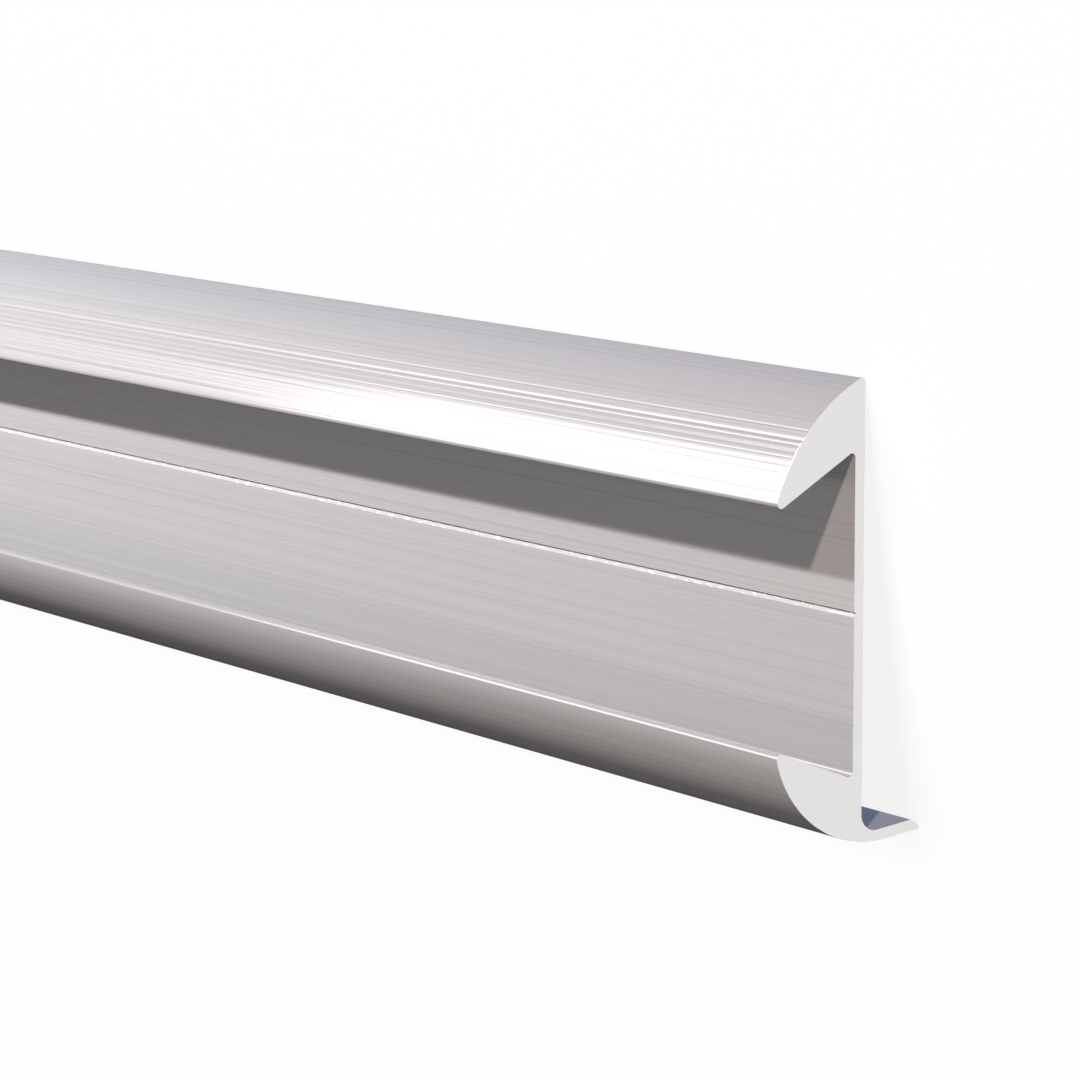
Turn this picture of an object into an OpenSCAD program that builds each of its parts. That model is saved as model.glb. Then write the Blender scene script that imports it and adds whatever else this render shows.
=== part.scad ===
// Hooked channel profile, extruded in one piece: a flat web with a curved,
// undercut lip along its top edge, a curved, upturned lip along its bottom
// edge, a thin foot that turns back from the base, and a drill guide groove
// along the middle of the web.
//
// It lies on its back with the channel up, on the rear edge of the top lip
// and the tip of the foot. X runs along the length, Y up the profile and Z up.
// The origin is under the middle of the profile, on the floor.

/* [Overall] */
// Length that the profile is cut to
profile_length = 1000; // [100:50:3000]
// Height of the section, from the base to the top of its rounded edge
profile_height = 50; // [42:0.5:75]

/* [Web] */
// Thickness of the web
web_t = 1.2; // [0.9:0.1:2]
// Width of the drill guide groove, at the face of the web
groove_w = 0.6; // [0.3:0.05:1.2]
// Lean of the groove's right-angled V, down from square to the web, in degrees
groove_lean = 17.5; // [0:0.5:25]

/* [Top lip] */
// Reach of the top lip in front of the back face, to its sharp tip
top_reach = 11.45; // [8:0.05:14]
// Drop from the rear top edge to the tip, both taken as sharp
top_drop = 14.1; // [12:0.1:17]
// Radius of the top lip's outer curve
top_curve_r = 20; // [15:0.1:30]
// Rise of the lip's underside from its tip to the web, in degrees
top_under_angle = 31.2; // [20:0.1:36]

/* [Bottom lip] */
// Reach of the bottom lip in front of the back face, to its sharp tip
bottom_reach = 11.25; // [8:0.05:14]
// Rise from the base to the sharp tip of the bottom lip
bottom_rise = 10.8; // [8:0.1:12]
// Radius of the bottom lip's outer curve
bottom_curve_r = 12.7; // [11.5:0.1:20]
// Fall of the lip's top face from its tip to the web, in degrees
bottom_top_angle = 20.5; // [10:0.1:28]

/* [Foot] */
// Reach of the foot behind the back face, to its sharp lower edge
foot_reach = 7.65; // [6:0.05:12]
// Thickness of the foot
foot_t = 1.2; // [1:0.1:1.8]
// Rise of the foot from the base to its tip, in degrees
foot_angle = 8; // [4:0.5:12]
// Fillet between the foot and the back of the web
foot_fillet_r = 1.8; // [0.5:0.1:2.5]
// Thickness that the chamfer leaves at the foot's tip
foot_tip_t = 0.25; // [0.25:0.05:0.6]

/* [Edges] */
// Radius of the two lip tips
tip_r = 0.5; // [0.2:0.05:0.8]
// Radius in the two corners of the channel
root_r = 0.45; // [0.2:0.05:1]
// Radius of the rear top edge
top_edge_r = 0.45; // [0.2:0.05:0.8]
// Radius of the edges at the foot's tip
foot_edge_r = 0.15; // [0.05:0.05:0.15]

/* [Hidden] */
$fn = 192;
// How far a cutter runs past the metal that it cuts
past = 3;
// How much a rounding's circle is larger than true, so that it crosses the
// faces that it meets, and never leaves a sliver by just touching them
crossing = 0.0005;

// The section is drawn in [height, front]: its first axis runs up the profile
// and its second one to the front, and the web's back face is at front 0.

// Unit vector from a towards b
function towards(a, b) = (b - a) / norm(b - a);

// A corner is [sharp point, centre of its rounding, touch point, touch point].
// Corner at p between two straight edges that run to a and b
function straight_corner(p, a, b, r) =
    let (
        da = towards(p, a),
        db = towards(p, b),
        half = acos(da * db) / 2,
        run = r / tan(half),
        c = p + (da + db) / norm(da + db) * r / sin(half)
    ) [p, c, p + run * da, p + run * db];

// Corner at p between a straight edge that runs to a, with the metal on its
// side m, and the inside of a curve of radius big_r about big_c
function curved_corner(p, a, m, big_c, big_r, r) =
    let (
        d = towards(p, a),
        q = p + m * r - big_c,
        run = -q * d - sqrt(pow(q * d, 2) - q * q + pow(big_r - r, 2)),
        c = p + run * d + m * r
    ) [p, c, p + run * d, big_c + (c - big_c) * big_r / (big_r - r)];

// Rounding of the rear top edge, where that edge is at height h
function rear_top_corner(h) = curved_corner(
    [h, 0], [h - 1, 0], [0, 1], [h, 0] - top_centre_drop, top_curve_r, top_edge_r
);

// The top curve passes through the sharp rear top edge and the sharp tip.
top_chord = norm([top_drop, top_reach]);
top_sag = sqrt(pow(top_curve_r, 2) - pow(top_chord / 2, 2));
top_centre_drop = [top_drop, -top_reach] / 2 + [top_reach, top_drop] * top_sag / top_chord;

// The sharp rear top edge stands above the rounded one.
rounding_loss = -rear_top_corner(0)[1][0] - top_edge_r;
top_edge = [profile_height + rounding_loss, 0];
top_tip = top_edge + [-top_drop, top_reach];
top_centre = top_edge - top_centre_drop;
top_edge_corner = rear_top_corner(top_edge[0]);

// The bottom curve passes through the sharp tip and just touches the base.
bottom_tip = [bottom_rise, bottom_reach];
bottom_centre = [
    bottom_curve_r,
    bottom_reach - sqrt(pow(bottom_curve_r, 2) - pow(bottom_curve_r - bottom_rise, 2))
];

// The inner face of each lip runs from its tip to the face of the web.
top_root = [top_tip[0] + (top_reach - web_t) * tan(top_under_angle), web_t];
bottom_root = [bottom_rise - (bottom_reach - web_t) * tan(bottom_top_angle), web_t];
channel_mid = (top_root[0] + bottom_root[0]) / 2;

// The groove lies across the middle of the channel, and its lower flank is the
// flatter one, which faces up the profile.
groove_flank = 45 - groove_lean;
groove_low = [channel_mid - groove_w / 2, web_t];
groove_high = [channel_mid + groove_w / 2, web_t];
groove_bottom = groove_low
    + groove_w * cos(groove_flank) * [cos(groove_flank), -sin(groove_flank)];
front_most = max(top_reach, bottom_reach);

// The foot leaves the bottom curve where the curve has the foot's slope.
foot_along = [sin(foot_angle), -cos(foot_angle)];
foot_up = [cos(foot_angle), sin(foot_angle)];
foot_start = bottom_centre - bottom_curve_r * foot_up;
foot_length = (foot_start[1] + foot_reach) / cos(foot_angle);
foot_heel = foot_start + foot_length * foot_along;
foot_end_edge = foot_heel + foot_tip_t * foot_up;
foot_top_edge = foot_heel + foot_t * foot_up - (foot_t - foot_tip_t) * foot_along;
foot_root = [
    foot_start[0] + foot_t / cos(foot_angle) + foot_start[1] * tan(foot_angle),
    0
];

// Rounded corners of the two tips and the foot
top_tip_corner = curved_corner(
    top_tip, top_root, [cos(top_under_angle), sin(top_under_angle)],
    top_centre, top_curve_r, tip_r
);
bottom_tip_corner = curved_corner(
    bottom_tip, bottom_root, [-cos(bottom_top_angle), sin(bottom_top_angle)],
    bottom_centre, bottom_curve_r, tip_r
);
foot_heel_corner = straight_corner(foot_heel, foot_start, foot_end_edge, foot_edge_r);
foot_end_corner = straight_corner(foot_end_edge, foot_heel, foot_top_edge, foot_edge_r);
foot_top_corner = straight_corner(foot_top_edge, foot_end_edge, foot_root, foot_edge_r);

// It rests on the roundings of the rear top edge and of the foot's end edge,
// so the floor is the line that touches both.
rest_span = top_edge_corner[1] - foot_end_corner[1];
rest_tilt = atan(rest_span[1] / rest_span[0])
    - asin((top_edge_r - foot_edge_r) / norm(rest_span));

// Place of a section point as [across the floor, height] when the profile
// lies down, before it is moved to the origin
function lying(p) = [
    p[0] * cos(rest_tilt) + p[1] * sin(rest_tilt),
    p[1] * cos(rest_tilt) - p[0] * sin(rest_tilt)
];
floor_height = lying(top_edge_corner[1])[1] - top_edge_r;
low_side = min(
    lying(foot_heel_corner[1])[0] - foot_edge_r,
    lying(bottom_centre)[0] - bottom_curve_r
);
high_side = lying(top_edge_corner[1])[0] + top_edge_r;

// What rounding takes off a sharp corner
module corner_waste(corner, r) {
    sharp = corner[0];
    centre = corner[1];
    difference() {
        polygon([
            centre,
            centre + past * towards(centre, corner[2]),
            centre + 2 * past * towards(centre, sharp),
            centre + past * towards(centre, corner[3])
        ]);
        translate(centre) circle(r = r + crossing);
    }
}

// Space in front of the web, between the two lips
module channel() {
    difference() {
        polygon([
            bottom_root,
            top_root,
            top_root + 2 * (top_tip - top_root),
            bottom_root + 2 * (bottom_tip - bottom_root)
        ]);
        corner_waste(straight_corner(bottom_root, bottom_tip, top_root, root_r), root_r);
        corner_waste(straight_corner(top_root, top_tip, bottom_root, root_r), root_r);
    }
}

// Space behind the web, above the foot
module rear_rebate() {
    above = [profile_height + 2 * past, 0];
    behind = foot_top_edge + 2 * foot_length * foot_along;
    difference() {
        polygon([above, foot_root, behind, [above[0], behind[1]]]);
        corner_waste(
            straight_corner(foot_root, above, foot_top_edge, foot_fillet_r),
            foot_fillet_r
        );
    }
}

// What lies outside the top lip's curve
module top_waste() {
    low = top_tip[0] - past;
    difference() {
        translate([low, -past])
            square([profile_height + 2 * past - low, front_most + 3 * past]);
        translate(top_centre) circle(r = top_curve_r);
    }
}

// What lies outside the bottom lip's curve, up to where the foot leaves it
module bottom_waste() {
    difference() {
        translate([-2 * past, foot_start[1]])
            square([bottom_rise + 3 * past, front_most + 3 * past]);
        translate(bottom_centre) circle(r = bottom_curve_r);
    }
}

// Shallow V along the middle of the web that keeps a drill from wandering
module drill_groove() {
    polygon([
        groove_bottom,
        groove_bottom + 2 * (groove_low - groove_bottom),
        groove_bottom + 2 * (groove_high - groove_bottom)
    ]);
}

// Billet outline: the true foot, and plain stock round everything else
module blank() {
    over_foot = foot_end_edge + 2 * (foot_top_edge - foot_end_edge);
    polygon([
        [profile_height + past, over_foot[1]],
        over_foot,
        foot_end_edge,
        foot_heel,
        foot_start,
        [-past, foot_start[1] + past],
        [-past, front_most + past],
        [profile_height + past, front_most + past]
    ]);
}

module section() {
    difference() {
        blank();
        top_waste();
        bottom_waste();
        channel();
        rear_rebate();
        drill_groove();
        corner_waste(top_edge_corner, top_edge_r);
        corner_waste(top_tip_corner, tip_r);
        corner_waste(bottom_tip_corner, tip_r);
        corner_waste(foot_heel_corner, foot_edge_r);
        corner_waste(foot_end_corner, foot_edge_r);
        corner_waste(foot_top_corner, foot_edge_r);
    }
}

module profile() {
    color("silver")
        translate([0, -(low_side + high_side) / 2, -floor_height])
            rotate([-rest_tilt, 0, 0])
                rotate([90, 0, 90])
                    linear_extrude(height = profile_length, center = true)
                        section();
}

profile();
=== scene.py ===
import math

import bpy
import numpy as np
from mathutils import Matrix, Vector

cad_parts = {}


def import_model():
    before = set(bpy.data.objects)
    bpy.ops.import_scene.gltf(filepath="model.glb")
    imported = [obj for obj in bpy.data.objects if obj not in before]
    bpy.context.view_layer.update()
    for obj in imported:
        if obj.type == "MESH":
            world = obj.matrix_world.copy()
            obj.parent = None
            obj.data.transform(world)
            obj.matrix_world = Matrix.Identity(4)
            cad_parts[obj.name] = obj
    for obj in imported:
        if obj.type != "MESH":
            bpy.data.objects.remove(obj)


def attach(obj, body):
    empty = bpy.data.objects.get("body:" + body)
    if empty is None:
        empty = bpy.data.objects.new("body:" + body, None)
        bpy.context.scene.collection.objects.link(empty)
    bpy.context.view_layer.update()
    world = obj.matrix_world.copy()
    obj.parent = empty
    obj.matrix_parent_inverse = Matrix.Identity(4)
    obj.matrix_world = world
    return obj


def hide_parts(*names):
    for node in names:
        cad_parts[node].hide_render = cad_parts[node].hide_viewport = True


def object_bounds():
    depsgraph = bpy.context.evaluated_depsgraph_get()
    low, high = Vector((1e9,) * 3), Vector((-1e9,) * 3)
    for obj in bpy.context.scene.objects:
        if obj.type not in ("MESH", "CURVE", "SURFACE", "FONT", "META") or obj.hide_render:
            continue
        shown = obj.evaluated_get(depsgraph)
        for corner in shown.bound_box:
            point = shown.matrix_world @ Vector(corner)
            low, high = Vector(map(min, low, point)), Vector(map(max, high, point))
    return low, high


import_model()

CAD_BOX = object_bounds()
MM = 0.001

# ---------------------------------------------------------------- section --
# Sizes of the section in millimetres, as in the CAD. A section point is
# [height, front]; the web's back face is at front 0.
PROFILE_H = 50.0
WEB_T = 1.2
GROOVE_W = 0.6
GROOVE_HALF_ANGLE = math.radians(45)
GROOVE_LEAN = math.radians(17.5)
TOP_REACH = 11.45
TOP_DROP = 14.1
TOP_CURVE_R = 20.0
TOP_UNDER = math.radians(31.2)
BOTTOM_REACH = 11.25
BOTTOM_RISE = 10.8
BOTTOM_CURVE_R = 12.7
BOTTOM_TOP = math.radians(20.5)
FOOT_REACH = 7.65
FOOT_T = 1.2
FOOT_ANGLE = math.radians(8.0)
FOOT_FILLET_R = 1.8
FOOT_TIP_T = 0.25
TIP_R = 0.5
ROOT_R = 0.45
TOP_EDGE_R = 0.45
FOOT_EDGE_R = 0.15

# About how far apart the points of the outline are: along it, and round a bend
STEP = 0.035
ARC_STEP = math.radians(9)
MIN_ARC_STEPS = 3


def point(*xy):
    return np.array(xy, float)


def towards(a, b):
    """Unit vector from a to b."""
    return (b - a) / np.linalg.norm(b - a)


def straight_corner(p, a, b, r):
    """Rounding at p between straight edges to a and b: its centre and both touch points."""
    da, db = towards(p, a), towards(p, b)
    half = math.acos(da @ db) / 2
    run = r / math.tan(half)
    centre = p + (da + db) / np.linalg.norm(da + db) * r / math.sin(half)
    return centre, p + run * da, p + run * db


def curved_corner(p, a, m, big_c, big_r, r):
    """Rounding at p between a straight edge to a, metal on side m, and the inside of a curve."""
    d = towards(p, a)
    q = p + m * r - big_c
    run = -q @ d - math.sqrt((q @ d) ** 2 - q @ q + (big_r - r) ** 2)
    centre = p + run * d + m * r
    return centre, p + run * d, big_c + (centre - big_c) * big_r / (big_r - r)


def line(p, q):
    """Points from p straight to q, without q."""
    n = max(1, round(np.linalg.norm(q - p) / STEP))
    return [p + (q - p) * k / n for k in range(n)]


def bow(c, p, q):
    """Points from p to q the short way round c, without q."""
    r = np.linalg.norm(p - c)
    a = math.atan2(*(p - c)[::-1])
    turn = (math.atan2(*(q - c)[::-1]) - a + math.pi) % (2 * math.pi) - math.pi
    n = max(MIN_ARC_STEPS, math.ceil(abs(turn) / ARC_STEP), round(abs(turn) * r / STEP))
    angles = [a + turn * k / n for k in range(n)]
    return [c + r * point(math.cos(t), math.sin(t)) for t in angles]


def section_outline():
    """The closed outline, the bottom of its groove, and the two roundings that the profile lies on."""
    chord = math.hypot(TOP_DROP, TOP_REACH)
    sag = math.sqrt(TOP_CURVE_R**2 - (chord / 2) ** 2)
    centre_drop = point(TOP_DROP, -TOP_REACH) / 2 + point(TOP_REACH, TOP_DROP) * sag / chord

    def rear_top(h):
        edge = point(h, 0)
        return curved_corner(edge, edge - (1, 0), point(0, 1), edge - centre_drop, TOP_CURVE_R, TOP_EDGE_R)

    top_edge = point(PROFILE_H - rear_top(0)[0][0] - TOP_EDGE_R, 0)
    top_tip = top_edge + (-TOP_DROP, TOP_REACH)
    top_c = top_edge - centre_drop
    top_root = point(top_tip[0] + (TOP_REACH - WEB_T) * math.tan(TOP_UNDER), WEB_T)

    bottom_tip = point(BOTTOM_RISE, BOTTOM_REACH)
    inset = math.sqrt(BOTTOM_CURVE_R**2 - (BOTTOM_CURVE_R - BOTTOM_RISE) ** 2)
    bottom_c = point(BOTTOM_CURVE_R, BOTTOM_REACH - inset)
    bottom_root = point(BOTTOM_RISE - (BOTTOM_REACH - WEB_T) * math.tan(BOTTOM_TOP), WEB_T)
    middle = (top_root[0] + bottom_root[0]) / 2
    groove_low = point(middle - GROOVE_W / 2, WEB_T)
    groove_high = point(middle + GROOVE_W / 2, WEB_T)
    flank = GROOVE_HALF_ANGLE - GROOVE_LEAN
    groove_bottom = groove_low + GROOVE_W * math.cos(flank) * point(math.cos(flank), -math.sin(flank))

    along = point(math.sin(FOOT_ANGLE), -math.cos(FOOT_ANGLE))
    up = point(math.cos(FOOT_ANGLE), math.sin(FOOT_ANGLE))
    start = bottom_c - BOTTOM_CURVE_R * up
    heel = start + (start[1] + FOOT_REACH) / math.cos(FOOT_ANGLE) * along
    end = heel + FOOT_TIP_T * up
    top = heel + FOOT_T * up - (FOOT_T - FOOT_TIP_T) * along
    foot_root = point(start[0] + FOOT_T / math.cos(FOOT_ANGLE) + start[1] * math.tan(FOOT_ANGLE), 0)

    edge_r = rear_top(top_edge[0])
    fillet = straight_corner(foot_root, top_edge, top, FOOT_FILLET_R)
    top_r = straight_corner(top, foot_root, end, FOOT_EDGE_R)
    end_r = straight_corner(end, top, heel, FOOT_EDGE_R)
    heel_r = straight_corner(heel, end, start, FOOT_EDGE_R)
    low_tip = curved_corner(
        bottom_tip, bottom_root, point(-math.cos(BOTTOM_TOP), math.sin(BOTTOM_TOP)),
        bottom_c, BOTTOM_CURVE_R, TIP_R,
    )
    low_root = straight_corner(bottom_root, bottom_tip, top_root, ROOT_R)
    high_root = straight_corner(top_root, bottom_root, top_tip, ROOT_R)
    high_tip = curved_corner(
        top_tip, top_root, point(math.cos(TOP_UNDER), math.sin(TOP_UNDER)),
        top_c, TOP_CURVE_R, TIP_R,
    )
    runs = [
        bow(edge_r[0], edge_r[2], edge_r[1]), line(edge_r[1], fillet[1]),
        bow(*fillet), line(fillet[2], top_r[1]),
        bow(*top_r), line(top_r[2], end_r[1]),
        bow(*end_r), line(end_r[2], heel_r[1]),
        bow(*heel_r), line(heel_r[2], start),
        bow(bottom_c, start, low_tip[2]),
        bow(low_tip[0], low_tip[2], low_tip[1]), line(low_tip[1], low_root[1]),
        bow(*low_root), line(low_root[2], groove_low),
        line(groove_low, groove_bottom), line(groove_bottom, groove_high),
        line(groove_high, high_root[1]),
        bow(*high_root), line(high_root[2], high_tip[1]),
        bow(*high_tip), bow(top_c, high_tip[2], edge_r[2]),
    ]
    return np.array([p for run in runs for p in run]), groove_bottom, edge_r[0], end_r[0]


OUTLINE, GROOVE_BOTTOM, REST_TOP, REST_FOOT = section_outline()
SPAN = REST_TOP - REST_FOOT
TILT = math.atan2(SPAN[1], SPAN[0]) - math.asin((TOP_EDGE_R - FOOT_EDGE_R) / np.linalg.norm(SPAN))
UP_SECTION = point(math.cos(TILT), -math.sin(TILT))
OUT_SECTION = point(math.sin(TILT), math.cos(TILT))


def lying(points):
    """Section points as [Y, Z] in millimetres, turned as the profile lies but not yet shifted."""
    return np.outer(points[:, 0], UP_SECTION) + np.outer(points[:, 1], OUT_SECTION)


LAID = lying(OUTLINE)
SHIFT = point(-(LAID[:, 0].min() + LAID[:, 0].max()) / 2, -LAID[:, 1].min())
HALF_L = CAD_BOX[1][0]


def place(along, height, front):
    """World point, in metres, of a point given from the near end, up the section and out of the channel."""
    y, z = height * UP_SECTION + front * OUT_SECTION + SHIFT * MM
    return Vector((HALF_L - along, y, z))


def direction(along, height, front):
    """World direction of one given along the length, up the section and out of the channel."""
    y, z = height * UP_SECTION + front * OUT_SECTION
    return Vector((-along, y, z)).normalized()


# ------------------------------------------------------------------- mesh --
# Rings of points along the length, and the bevel of the sawn edges in millimetres
STATIONS = 5
CUT_BEVEL = 0.01
SHARP_ANGLE = math.radians(25)


def outward_normals(loop):
    """Outward unit normals of a closed loop of points."""
    run = np.roll(loop, -1, 0) - np.roll(loop, 1, 0)
    n = np.stack([run[:, 1], -run[:, 0]], 1)
    n /= np.linalg.norm(n, axis=1)[:, None]
    x, y = loop.T
    area = np.sum(x * np.roll(y, -1) - np.roll(x, -1) * y)
    return n if area > 0 else -n


def distance_round(loop):
    """Distance round the loop to each of its points, and all the way round."""
    steps = np.linalg.norm(np.roll(loop, -1, 0) - loop, axis=1)
    return np.concatenate([[0], np.cumsum(steps)[:-1]]), steps.sum()


DIE_SEED = 11
# Sorts of die line: how many, least and most width, and depth for each unit of width
DIE_LINES = [
    (420, 0.05, 0.16, 0.016),
    (120, 0.08, 0.45, 0.014),
    (40, 0.04, 0.08, 0.08),
]
LEAST_DEPTH = 0.2
# The top lip's curve: it lies above this height, and its normals lean this far forward, in degrees
TOP_LIP_ABOVE = 30.0
TOP_LIP_LEANS = (20, 80)
# Deeper scores along that curve: the lean of the normal where each lies, its width and its depth
SCORES = [
    (50.3, 0.11, 0.040),
    (53.8, 0.22, 0.060),
    (55.6, 0.09, 0.022),
    (60.0, 0.05, 0.010),
    (73.8, 0.05, 0.014),
]


def die_relief(loop):
    """How far each point lies below the true surface, from the lines that the die drew."""
    rng = np.random.default_rng(DIE_SEED)
    s, total = distance_round(loop)
    depth = np.zeros(len(loop))
    for count, low, high, slope in DIE_LINES:
        for centre, width in zip(rng.uniform(0, total, count), rng.uniform(low, high, count)):
            gap = (s - centre + total / 2) % total - total / 2
            depth += slope * width * rng.uniform(LEAST_DEPTH, 1) * np.exp(-((gap / width) ** 2))
    lean = np.degrees(np.arctan2(*outward_normals(loop).T[::-1]))
    least, most = TOP_LIP_LEANS
    on_lip = np.flatnonzero((loop[:, 0] > TOP_LIP_ABOVE) & (lean > least) & (lean < most))
    for angle, width, deep in SCORES:
        centre = s[on_lip[np.argmin(np.abs(lean[on_lip] - angle))]]
        depth += deep * np.exp(-(((s - centre) / width) ** 2))
    return depth


def swept_mesh():
    """The section swept from the far end to the near one. Its last two faces are the sawn ends."""
    out = outward_normals(OUTLINE)
    worn = OUTLINE - out * die_relief(OUTLINE)[:, None]
    full, inset = lying(worn) + SHIFT, lying(worn - out * CUT_BEVEL) + SHIFT
    bevel = CUT_BEVEL * MM
    stations = np.linspace(-HALF_L + bevel, HALF_L - bevel, STATIONS)
    rings = [(-HALF_L, inset)] + [(x, full) for x in stations] + [(HALF_L, inset)]
    n = len(OUTLINE)
    verts = np.concatenate([np.column_stack([np.full(n, x), ring * MM]) for x, ring in rings])
    faces = []
    for k in range(len(rings) - 1):
        a, b = k * n, (k + 1) * n
        faces += [(a + i, b + i, b + (i + 1) % n, a + (i + 1) % n) for i in range(n)]
    last = (len(rings) - 1) * n
    faces += [tuple(range(n)), tuple(range(last, last + n))[::-1]]
    mesh = bpy.data.meshes.new("extrusion")
    mesh.from_pydata(verts.tolist(), [], faces)
    return mesh


def groove_flank():
    """For each stretch of the outline, whether it is the lower flank of the drill guide groove."""
    height, front = ((OUTLINE + np.roll(OUTLINE, -1, 0)) / 2 - GROOVE_BOTTOM).T
    return (abs(height + GROOVE_W / 2) < GROOVE_W / 2) & (front > 0) & (front < WEB_T - GROOVE_BOTTOM[1])


UV_NAME = "unrolled"


def unroll(mesh):
    """A UV map in metres: U round the section, V along the length."""
    s, total = distance_round(OUTLINE)
    n = len(s)
    layer = mesh.uv_layers.new(name=UV_NAME)
    for poly in mesh.polygons:
        ids = [mesh.loops[k].vertex_index % n for k in poly.loop_indices]
        wraps = len(ids) == 4 and 0 in ids and n - 1 in ids
        for loop, i in zip(poly.loop_indices, ids):
            around = s[i] + (total if wraps and i == 0 else 0)
            co = mesh.vertices[mesh.loops[loop].vertex_index].co
            layer.data[loop].uv = (around * MM, co.x)


# -------------------------------------------------------------- materials --
# A mix node has sockets A, B and Result for each kind of data; these are the numbers of the colour ones
MIX_A, MIX_B, MIX_RESULT = 6, 7, 2

METAL_GREY = (0.80, 0.795, 0.795)
METAL_PALE = (0.88, 0.88, 0.885)
METAL_DULL = (0.76, 0.752, 0.747)
# Painted shade: a darker grey for the groove's lower flank, which holds down the strip's highlight on it
GROOVE_PAINTED_SHADE = (0.52, 0.52, 0.525)
# Painted glints: pale flecks on that flank
GROOVE_PAINTED_GLINT = (0.90, 0.90, 0.90)
SAWN_WHITE = (0.86, 0.86, 0.86)


def node(tree, kind, inputs=(), **settings):
    """A new node; an input given a socket is linked to it, and any other is set."""
    made = tree.nodes.new(kind)
    for name, value in settings.items():
        setattr(made, name, value)
    for name, value in dict(inputs).items():
        if isinstance(value, bpy.types.NodeSocket):
            tree.links.new(value, made.inputs[name])
        else:
            made.inputs[name].default_value = value
    return made


def new_material(name):
    mat = bpy.data.materials.new(name)
    mat.use_nodes = True
    return mat, mat.node_tree, mat.node_tree.nodes["Principled BSDF"]


def unrolled_uv(tree):
    return node(tree, "ShaderNodeUVMap", uv_map=UV_NAME).outputs["UV"]


def streaks(tree, uv, across, along, detail):
    """Noise drawn out along the length: grains of it for each metre, across and along."""
    scaled = node(tree, "ShaderNodeVectorMath", {0: uv, 1: (across, along, 0)}, operation="MULTIPLY")
    settings = {"Vector": scaled.outputs[0], "Scale": 1.0, "Detail": detail, "Roughness": 0.6}
    return node(tree, "ShaderNodeTexNoise", settings, noise_dimensions="2D").outputs["Fac"]


def remap(tree, value, low, high, new_low, new_high):
    """The value taken from the range low..high to new_low..new_high, and held at its ends."""
    ends = {"From Min": low, "From Max": high, "To Min": new_low, "To Max": new_high}
    return node(tree, "ShaderNodeMapRange", {"Value": value, **ends}).outputs["Result"]


def blend(tree, factor, a, b):
    """Colour a where the factor is 0 and b where it is 1; each is a colour or a socket."""
    mixed = node(tree, "ShaderNodeMix", data_type="RGBA")
    tree.links.new(factor, mixed.inputs["Factor"])
    for socket, value in ((mixed.inputs[MIX_A], a), (mixed.inputs[MIX_B], b)):
        if isinstance(value, bpy.types.NodeSocket):
            tree.links.new(value, socket)
        else:
            socket.default_value = (*value, 1)
    return mixed.outputs[MIX_RESULT]


def drawn_aluminium():
    """Mill finish: half gloss, with hairlines of three widths along the length."""
    mat, tree, bsdf = new_material("drawn_aluminium")
    uv = unrolled_uv(tree)
    fine = streaks(tree, uv, 6500, 2.0, 2.0)
    medium = streaks(tree, uv, 3500, 1.5, 2.0)
    broad = streaks(tree, uv, 450, 1.0, 3.0)
    tone = blend(tree, remap(tree, fine, 0.3, 0.7, 0, 1), METAL_GREY, METAL_PALE)
    dulled = blend(tree, remap(tree, medium, 0.30, 0.42, 1, 0), tone, METAL_DULL)
    tree.links.new(dulled, bsdf.inputs["Base Color"])
    tree.links.new(remap(tree, medium, 0.36, 0.64, 0.06, 0.20), bsdf.inputs["Roughness"])
    bsdf.inputs["Metallic"].default_value = 0.5
    bsdf.inputs["Anisotropic"].default_value = 0.3
    tangent = node(tree, "ShaderNodeTangent", direction_type="UV_MAP", uv_map=UV_NAME)
    tree.links.new(tangent.outputs["Tangent"], bsdf.inputs["Tangent"])
    normal = None
    for height, distance in ((fine, 3e-6), (medium, 1.4e-5), (broad, 1e-5)):
        bump = node(tree, "ShaderNodeBump", {"Height": height, "Strength": 1.0, "Distance": distance})
        if normal:
            tree.links.new(normal, bump.inputs["Normal"])
        normal = bump.outputs["Normal"]
    tree.links.new(normal, bsdf.inputs["Normal"])
    return mat


def groove_aluminium():
    """The groove's lower flank: duller than the rest of the metal, a darker grey of painted shade, with
    painted glints.
    """
    mat, tree, bsdf = new_material("groove_aluminium")
    # Pale flecks of painted glint on a darker grey of painted shade
    painted_glints = streaks(tree, unrolled_uv(tree), 3000, 600, 3.0)
    tone = blend(tree, remap(tree, painted_glints, 0.60, 0.66, 0, 1), GROOVE_PAINTED_SHADE, GROOVE_PAINTED_GLINT)
    tree.links.new(tone, bsdf.inputs["Base Color"])
    tree.links.new(remap(tree, painted_glints, 0.60, 0.66, 0.5, 0.2), bsdf.inputs["Roughness"])
    bsdf.inputs["Specular IOR Level"].default_value = 0.15
    return mat


def sawn_aluminium():
    """Matt and white, with the faint rings that a saw leaves."""
    mat, tree, bsdf = new_material("sawn_aluminium")
    at = node(tree, "ShaderNodeTexCoord").outputs["Object"]
    rings = {"Vector": at, "Scale": 900.0, "Distortion": 1.5}
    marks = node(tree, "ShaderNodeTexWave", rings, wave_type="RINGS", rings_direction="X")
    bsdf.inputs["Base Color"].default_value = (*SAWN_WHITE, 1)
    bsdf.inputs["Metallic"].default_value = 0.2
    bsdf.inputs["Roughness"].default_value = 0.6
    bump = node(tree, "ShaderNodeBump", {"Height": marks.outputs["Fac"], "Strength": 0.3, "Distance": 2e-6})
    tree.links.new(bump.outputs["Normal"], bsdf.inputs["Normal"])
    return mat


# Places of the materials in the mesh's list; the drawn metal is first, so each face has it at the start
SAWN, GROOVED = 1, 2


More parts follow.
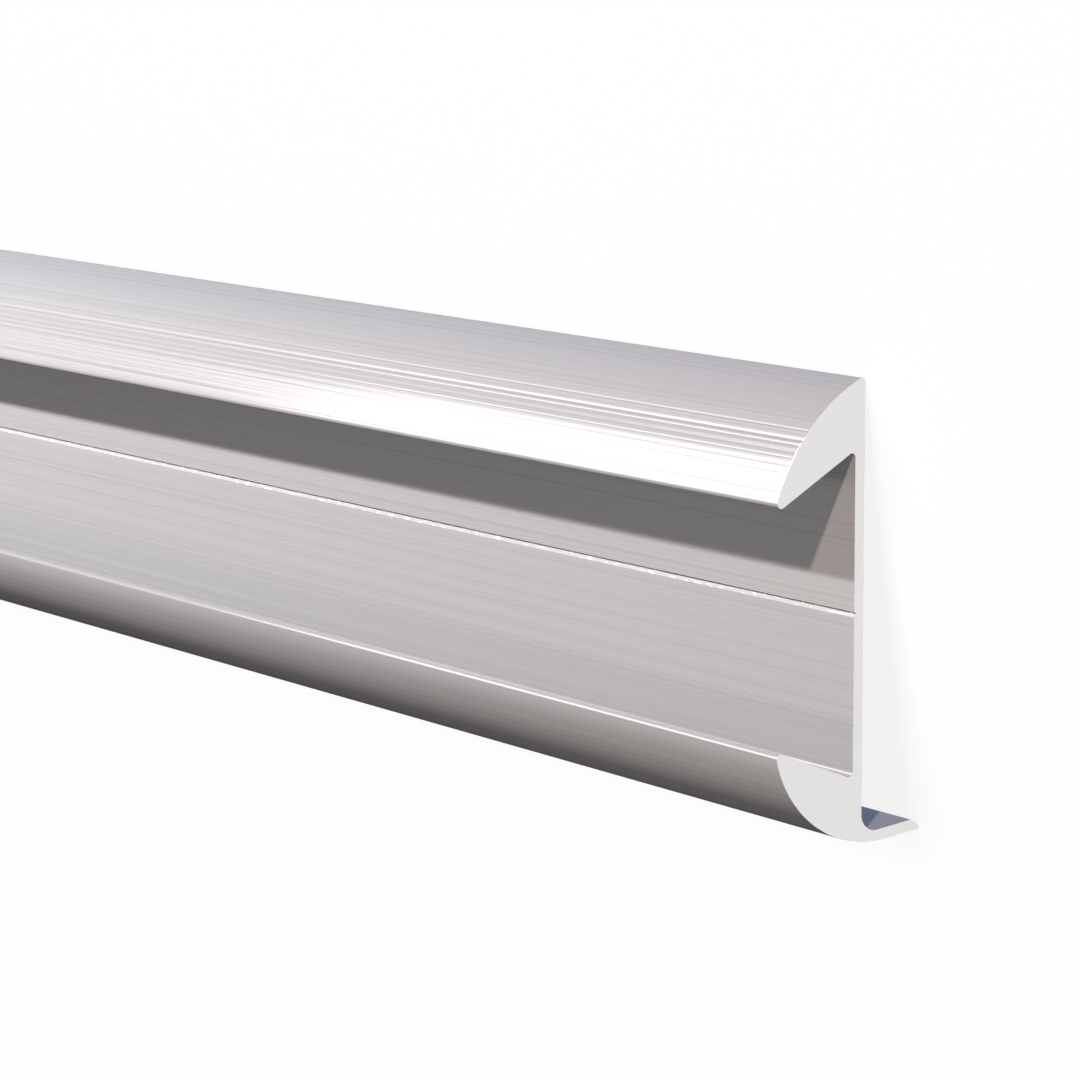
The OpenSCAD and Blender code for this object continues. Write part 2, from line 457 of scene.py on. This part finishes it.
def extrusion():
    mesh = swept_mesh()
    unroll(mesh)
    for material in (drawn_aluminium(), sawn_aluminium(), groove_aluminium()):
        mesh.materials.append(material)
    mesh.shade_smooth()
    mesh.set_sharp_from_angle(angle=SHARP_ANGLE)
    for cap in mesh.polygons[-2:]:
        cap.material_index = SAWN
        cap.use_smooth = False
    grooved = groove_flank()
    for k, side in enumerate(mesh.polygons[:-2]):
        if grooved[k % len(grooved)]:
            side.material_index = GROOVED
    piece = bpy.data.objects.new("extrusion", mesh)
    bpy.context.scene.collection.objects.link(piece)
    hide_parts("profile")
    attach(piece, "root")
    return piece


# ------------------------------------------------------------------ stage --
FLOOR_SIZE = 12
FLOOR_GREY = (0.14, 0.14, 0.14)
FLOOR_GLOW = 0.88


def floor():
    """White mostly by its own glow, so the shadow on it is faint. The metal doesn't mirror it."""
    bpy.ops.mesh.primitive_plane_add(size=FLOOR_SIZE, location=(0, 0, 0))
    obj = bpy.context.object
    obj.name = "floor"
    mat, _, bsdf = new_material("floor")
    bsdf.inputs["Base Color"].default_value = (*FLOOR_GREY, 1)
    bsdf.inputs["Roughness"].default_value = 1
    bsdf.inputs["Specular IOR Level"].default_value = 0
    bsdf.inputs["Emission Color"].default_value = (1, 1, 1, 1)
    bsdf.inputs["Emission Strength"].default_value = FLOOR_GLOW
    obj.data.materials.append(mat)
    obj.visible_glossy = False
    obj.visible_diffuse = False
    return obj


# The camera: where it stands and looks, from the near end, up the section and out of the channel
CAMERA_AT = (-0.42342, 0.10367, 0.30498)
CAMERA_LOOK = (0.8404, -0.13511, -0.52485)
LENS_MM = 165
SENSOR_MM = 36
NEAREST_SEEN = 0.01


def camera():
    """The photo's view, rolled so that the section stands upright in it."""
    data = bpy.data.cameras.new("camera")
    data.lens = LENS_MM
    data.sensor_width = SENSOR_MM
    data.clip_start = NEAREST_SEEN
    obj = bpy.data.objects.new("camera", data)
    bpy.context.scene.collection.objects.link(obj)
    look = direction(*CAMERA_LOOK)
    right = look.cross(direction(0, 1, 0)).normalized()
    turn = Matrix((right, right.cross(look), -look)).transposed()
    obj.matrix_world = Matrix.Translation(place(*CAMERA_AT)) @ turn.to_4x4()
    bpy.context.scene.camera = obj


# The point of the part that the lamps face
TARGET = place(0.09, 0.025, 0.0)

WHITE = (1, 1, 1)
# Flat lamps: where each is seen from that point, how far off, its width and height, how much of its
# light reaches the point, and its colour
LAMPS = {
    "near_key": ((-0.57, 0.534, 0.626), 3.0, (0.13, 0.13), 1.95, (1.0, 0.85, 0.72)),
    "far_key": ((0.57, 0.542, 0.618), 0.65, (0.024, 0.024), 3.9, (0.95, 0.962, 1.0)),
    "strip": ((0.795, 0.2484, 0.5528), 3.0, (1.24, 0.85), 0.111256, WHITE),
    "end_fill": ((-1.0, 0.0, 0.06), 1.5, (0.6, 0.3), 2.15, (0.93, 0.97, 1.0)),
    "top_soft": ((0.0, 0.15, 1.0), 1.2, (1.0, 1.0), 3.0, WHITE),
}


def panel(name, towards_it, distance, size, reaching, colour):
    """A flat lamp that faces the part."""
    data = bpy.data.lights.new(name, "AREA")
    data.shape = "RECTANGLE"
    data.size, data.size_y = size
    data.energy = reaching * math.pi * distance**2
    data.color = colour
    obj = bpy.data.objects.new(name, data)
    bpy.context.scene.collection.objects.link(obj)
    aim = direction(*towards_it)
    right = aim.cross(direction(1, 0, 0)).normalized()
    up = right.cross(-aim)
    turn = Matrix((right, up, aim)).transposed()
    obj.matrix_world = Matrix.Translation(TARGET + aim * distance) @ turn.to_4x4()
    return obj


def only_lights(lamp, obj):
    group = bpy.data.collections.new(lamp.name + "_on")
    group.objects.link(obj)
    lamp.light_linking.receiver_collection = group


def lights(part, ground):
    """The top lamp lights only the floor, and the others only the part; the keys light it only directly."""
    lamps = {name: panel(name, *values) for name, values in LAMPS.items()}
    for name, lamp in lamps.items():
        only_lights(lamp, ground if name == "top_soft" else part)
    for key in ("near_key", "far_key"):
        lamps[key].data.cycles.max_bounces = 0


# What the part sees round it: each glow's direction, the cosines of the angles off it at which the glow
# starts and is full, and its colour. They are added up.
GLOWS = [
    ((0.8, 0.1, 0.6), 0.78, 0.98, (0.205, 0.19, 0.197)),
    ((0.0, -1.0, 0.0), 0.1, 0.6, (0.06, 0.053, 0.05)),
    ((0.0, -1.0, 0.0), 0.62, 0.85, (0.10, 0.10, 0.10)),
    ((0.0, 0.9, -0.45), 0.1, 0.5, (-0.03, 0.008, 0.065)),
    ((0.84, 0.2, -0.5), 0.95, 0.985, (0.14, 0.18, 0.23)),
]
SURROUND = (0.035, 0.033, 0.033)
BACKGROUND = 0.95


def world():
    """The glows for the part, and plain white for the camera."""
    w = bpy.data.worlds.new("studio")
    bpy.context.scene.world = w
    w.use_nodes = True
    tree = w.node_tree
    bg = tree.nodes["Background"]
    ray = node(tree, "ShaderNodeTexCoord").outputs["Generated"]
    total = None
    for aim, start, full, colour in GLOWS:
        along = node(tree, "ShaderNodeVectorMath", {0: ray, 1: direction(*aim)}, operation="DOT_PRODUCT")
        glow = blend(tree, remap(tree, along.outputs["Value"], start, full, 0, 1), (0, 0, 0), colour)
        added = node(tree, "ShaderNodeVectorMath", {0: glow, 1: total or SURROUND}, operation="ADD")
        total = added.outputs["Vector"]
    tree.links.new(total, bg.inputs["Color"])
    white = node(tree, "ShaderNodeBackground", {"Color": (*WHITE, 1), "Strength": BACKGROUND})
    seen = node(tree, "ShaderNodeLightPath").outputs["Is Camera Ray"]
    mix = node(tree, "ShaderNodeMixShader", {0: seen, 1: bg.outputs[0], 2: white.outputs[0]})
    tree.links.new(mix.outputs[0], tree.nodes["World Output"].inputs["Surface"])


part = extrusion()
ground = floor()
camera()
lights(part, ground)
world()
bpy.context.scene.view_settings.view_transform = "Standard"
